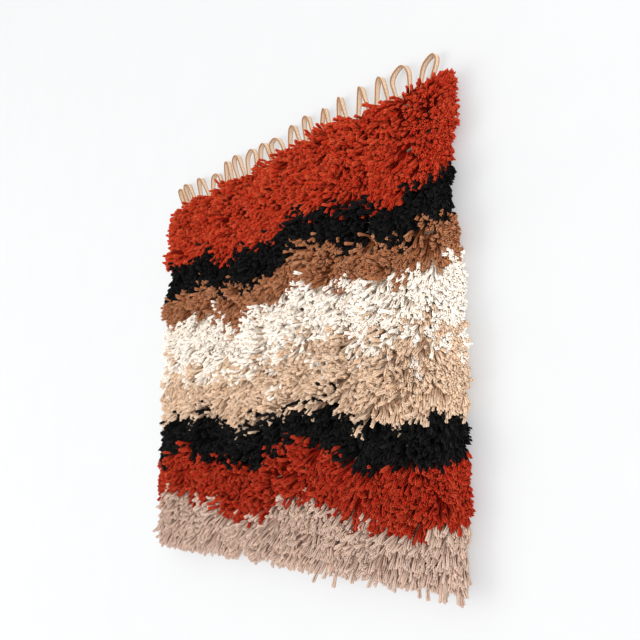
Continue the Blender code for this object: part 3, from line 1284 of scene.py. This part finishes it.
@dataclass
class Heading:
    """The plain woven strip at the top edge: weft threads laid in and out of the warp.

    Args:
        rows: weft threads in the strip.
        warp_pitch: distance between two warp groups.
        radius: half a weft thread's thickness.
        steps: lengths that a thread bends in.
    """

    rows: int = 4
    warp_pitch: float = 0.0058
    radius: float = 0.00115
    steps: int = 168

    def build(self) -> bpy.types.Object:
        """Make the weft threads as one piece.

        Returns:
            The piece.
        """
        half = (RIGHT - LEFT) / 2 - self.radius
        x = np.linspace(-half, half, self.steps + 1)
        low = LOOPS_LOW.z + self.radius * 1.1
        high = WarpLoops.heading_top - self.radius * 0.7
        middle = (LOOPS_LOW.y + LOOPS_HIGH.y) / 2
        swing = -middle - self.radius
        paths = np.empty((self.rows, len(x), 3))
        for row in range(self.rows):
            paths[row, :, 0] = x
            paths[row, :, 1] = middle + swing * np.sin(math.pi * x / self.warp_pitch + row * math.pi)
            paths[row, :, 2] = low + (high - low) * row / (self.rows - 1)
        radii = np.full(paths.shape[:2], self.radius)
        tones = np.random.default_rng(SEED + 2).random((self.rows, 2))
        form = StrandForm(sides=6, steps=self.steps).build()
        swarm = Swarm(form, paths, radii, tones, dome=0.0002, side=2)
        piece = joined_piece("heading_weft", [swarm], WarpMaterial().build())
        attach(piece, "root")
        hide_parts("hanging_loops")
        LOG.info("heading_weft: %d triangles", triangles(piece))
        return piece


@dataclass
class GroundCloth:
    """The woven ground cloth behind the pile.

    Args:
        thick: its thickness.
        front: Y of its front face; the knots' bars stand out behind it.
        cell: side of one square of its mesh.
        waver: how far its edges and face waver.
    """

    thick: float = 0.0010
    front: float = -0.0025
    cell: float = 0.0068
    waver: float = 0.0008

    def build(self, with_pieces: list[bpy.types.Object]) -> bpy.types.Object:
        """Make the cloth.

        Args:
            with_pieces: the pieces knotted to it; not used.

        Returns:
            The piece.
        """
        width, height = RIGHT - LEFT, TOP - BOTTOM
        shape = bmesh.new()
        bmesh.ops.create_grid(
            shape, x_segments=round(width / self.cell), y_segments=round(height / self.cell), size=0.5
        )
        middle = (CLOTH_LOW + CLOTH_HIGH) / 2
        for vert in shape.verts:
            flat = vert.co.copy()
            x = middle.x + flat.x * (width - 2 * self.waver)
            z = middle.z + flat.y * (height - 2 * self.waver)
            drift = noise.noise_vector(Vector((x, 0, z)) * 25) * self.waver
            lifted = max(flat.y, 0) * 4 * self.waver
            vert.co = (x + drift.x, self.front + drift.y * 0.2, z + drift.z + lifted)
        shape.normal_update()
        bmesh.ops.solidify(shape, geom=shape.faces, thickness=self.thick)
        bmesh.ops.recalc_face_normals(shape, faces=shape.faces)
        piece = placed_shape("ground_cloth", shape, WeaveMaterial().build())
        piece.data.shade_smooth()
        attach(piece, "root")
        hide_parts("canvas")
        LOG.info("ground_cloth: %d triangles", triangles(piece))
        return piece


@dataclass
class Studio:
    """The pale wall and floor, the soft lights and the camera.

    Args:
        eye: the camera's place.
        yaw: its turn from +Y towards -X, in degrees.
        pitch: its tilt above the horizon, in degrees.
        lens: its focal length on a 36 mm sensor.
        front_light: strength of the sky before the hanging.
        rear_light: strength of the sky behind it.
        plane_size: side of the wall and of the floor.
        wall_gap: how far the wall stands behind the back.
        floor_drop: how far the floor lies below the foot.
        wall_tones: the two greys of the wall and the floor.
        wall_colour: colour of the light that they give.
        wall_light: strength of that light.
        lamps: name, place, side and watts of each soft lamp.
    """

    eye: tuple[float, float, float] = (0.628, -0.495, -0.398)
    yaw: float = 48.95
    pitch: float = 11.47
    lens: float = 39.43
    front_light: float = 1.32
    rear_light: float = 0.82
    plane_size: float = 6.0
    wall_gap: float = 0.002
    floor_drop: float = 0.35
    wall_tones: tuple[tuple[float, ...], ...] = ((0.285, 0.287, 0.289), (0.300, 0.302, 0.304))
    wall_colour: tuple[float, float, float] = (0.985, 0.990, 1.0)
    wall_light: float = 0.355
    lamps: tuple[tuple[str, tuple[float, float, float], float, float], ...] = (
        ("key", (-2.9, -3.0, -1.0), 3.0, 98.0),
        ("fill", (1.9, -1.9, -0.7), 1.6, 40.0),
        ("rear_fill", (0.9, 1.8, 0.5), 1.2, 18.0),
    )

    def stage_material(self, name: str) -> bpy.types.Material:
        """Wire a pale matt material that is clear from behind.

        Args:
            name: the material's name.

        Returns:
            The finished material.
        """
        material, wire, shader = new_material(name, roughness=0.9, specular=0.5)
        place = wire.add("ShaderNodeTexCoord").outputs["Object"]
        grain = wire.add("ShaderNodeTexNoise", {"Scale": 14.0, "Vector": place})
        wire.feed(shader, {
            "Base Color": wire.mix(grain.outputs["Fac"], *self.wall_tones),
            "Emission Color": self.wall_colour,
            "Emission Strength": self.wall_light,
        })
        behind = wire.add("ShaderNodeNewGeometry").outputs["Backfacing"]
        clear = wire.add("ShaderNodeBsdfTransparent").outputs[0]
        choice = wire.add("ShaderNodeMixShader", {0: behind, 1: shader.outputs[0], 2: clear})
        wire.feed(material.node_tree.nodes["Material Output"], {"Surface": choice.outputs[0]})
        return material

    def stage_plane(self, name: str, place: tuple[float, float, float], upright: bool) -> None:
        """Add one pale plane that shows from its front alone.

        Args:
            name: the plane's name.
            place: its centre.
            upright: True for a wall facing -Y.
        """
        shape = bmesh.new()
        bmesh.ops.create_grid(shape, x_segments=1, y_segments=1, size=self.plane_size / 2)
        if upright:
            turn = Vector((0, 0, 1)).rotation_difference(Vector((0, -1, 0))).to_matrix()
            bmesh.ops.rotate(shape, verts=shape.verts, cent=(0, 0, 0), matrix=turn)
        bmesh.ops.translate(shape, verts=shape.verts, vec=place)
        plane = placed_shape(name, shape, self.stage_material(name))
        plane.visible_shadow = False
        plane.visible_diffuse = False
        plane.visible_glossy = False

    def light(self, name: str, place: tuple[float, float, float], size: float, power: float) -> None:
        """Add one soft square light aimed at the hanging's middle.

        Args:
            name: the light's name.
            place: its place.
            size: its side.
            power: its power in watts.
        """
        lamp = bpy.data.lights.new(name, "AREA")
        lamp.size = size
        lamp.energy = power
        item = placed(name, lamp)
        item.location = place
        aim = Vector((0.0, 0.0, (CAD_LOW.z + CAD_HIGH.z) / 2)) - Vector(place)
        item.rotation_euler = aim.to_track_quat("-Z", "Y").to_euler()

    def camera(self) -> None:
        """Place the camera at the photograph's view."""
        data = bpy.data.cameras.new("view")
        data.lens = self.lens
        data.sensor_width = 36.0
        data.clip_start = 0.01
        item = placed("view", data)
        item.location = self.eye
        item.rotation_euler = (math.radians(90 + self.pitch), 0, math.radians(self.yaw))
        bpy.context.scene.camera = item

    def build(self) -> None:
        """Set the stage, the light and the camera."""
        scene = bpy.context.scene
        scene.view_settings.view_transform = "Standard"
        world = bpy.data.worlds.new("studio")
        world.use_nodes = True
        wire = Nodes(world.node_tree)
        direction = wire.add("ShaderNodeTexCoord").outputs["Generated"]
        split = wire.add("ShaderNodeSeparateXYZ", {0: direction})
        strength = wire.add(
            "ShaderNodeMapRange",
            {
                "Value": split.outputs["Y"],
                "From Min": -0.15,
                "From Max": 0.25,
                "To Min": self.front_light,
                "To Max": self.rear_light,
            },
            interpolation_type="SMOOTHSTEP",
        )
        sky = {"Color": (1.0, 1.0, 1.0), "Strength": strength.outputs[0]}
        wire.feed(world.node_tree.nodes["Background"], sky)
        scene.world = world
        self.stage_plane("wall", (0, self.wall_gap, 0.5), True)
        self.stage_plane("floor", (0, 0, CAD_LOW.z - self.floor_drop), False)
        for lamp in self.lamps:
            self.light(*lamp)
        self.camera()


def main() -> None:
    """Build the hanging's pieces, the stage, the light and the camera."""
    logging.basicConfig(level=logging.INFO, format="%(name)s %(message)s")
    Studio().build()
    pile = ShagPile()
    pile.build()
    loops = WarpLoops().build()
    heading = Heading().build()
    GroundCloth().build([*pile.pieces, loops, heading])


if __name__ == "__main__":
    main()
